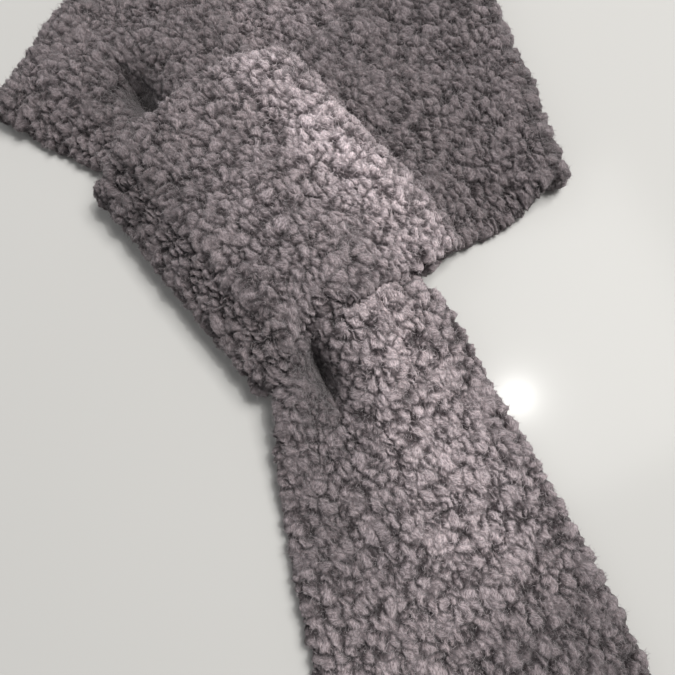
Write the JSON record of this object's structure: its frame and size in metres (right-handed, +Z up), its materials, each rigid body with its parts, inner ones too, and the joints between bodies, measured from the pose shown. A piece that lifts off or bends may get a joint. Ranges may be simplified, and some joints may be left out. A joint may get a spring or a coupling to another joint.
{
  "type": "pull-through fleece scarf",
  "caption": "Curly fleece neck scarf lying flat, its tail drawn through a sewn loop; the tail pulls through and lifts.",
  "frame": {"origin": "on the table under the middle of the loop, on the flat underside of the loop's returned end", "axes": "+X across the loop towards the right panel, -Y the way the tail leaves the loop, +Z up from the table"},
  "size_m": [0.4392, 0.624, 0.0449],
  "materials": {
    "fleece_face": "matte curly pile",
    "fleece_lining": "matte curly pile, combed flatter",
    "seam_edge": "matte knitted seam",
    "sewing_thread": "matte thread",
    "label_tape": "satin woven tape"
  },
  "bodies": {
    "neck_ring": {"neck_back_face": "fleece_face", "left_turn_face": "fleece_face", "right_turn_face": "fleece_face", "left_panel_face": "fleece_face", "right_panel_face": "fleece_face", "loop_top_face": "fleece_face", "loop_turn_face": "fleece_face", "loop_return_face": "fleece_face", "neck_back_lining": "fleece_lining", "left_turn_lining": "fleece_lining", "right_turn_lining": "fleece_lining", "left_panel_lining": "fleece_lining", "right_panel_lining": "fleece_lining", "loop_top_lining": "fleece_lining", "loop_turn_lining": "fleece_lining", "loop_return_lining": "fleece_lining", "panel_outer_seams": "seam_edge", "panel_neckline_seams": "seam_edge", "loop_edge_seams": "seam_edge", "loop_end_hem": "seam_edge", "loop_end_stitches": "sewing_thread"},
    "sliding_strip": {"gathered_strip_face": "fleece_face", "gathered_strip_lining": "fleece_lining", "gathered_strip_seams": "seam_edge"},
    "tail": {"tail_face": "fleece_face", "tail_lining": "fleece_lining", "tail_left_seam": "seam_edge", "tail_right_seam": "seam_edge", "tail_end_seam": "seam_edge"},
    "label": {"care_label": "label_tape", "care_label_stitches": "sewing_thread"}
  },
  "joints": [
    {"name": "pull_through", "type": "slide", "parent": "neck_ring", "child": "sliding_strip", "axis": [0, -1, 0], "range_m": [0, 0.04]},
    {"name": "tail_lift", "type": "hinge", "parent": "sliding_strip", "child": "tail", "pos_m": [-0.003, -0.0985, 0.027], "axis": [-1, 0, 0], "range_deg": [0, 75]},
    {"name": "label_flip", "type": "hinge", "parent": "tail", "child": "label", "pos_m": [-0.17567, -0.29015, 0.006], "axis": [0.4056, 0.9141, 0], "range_deg": [0, 90]}
  ]
}
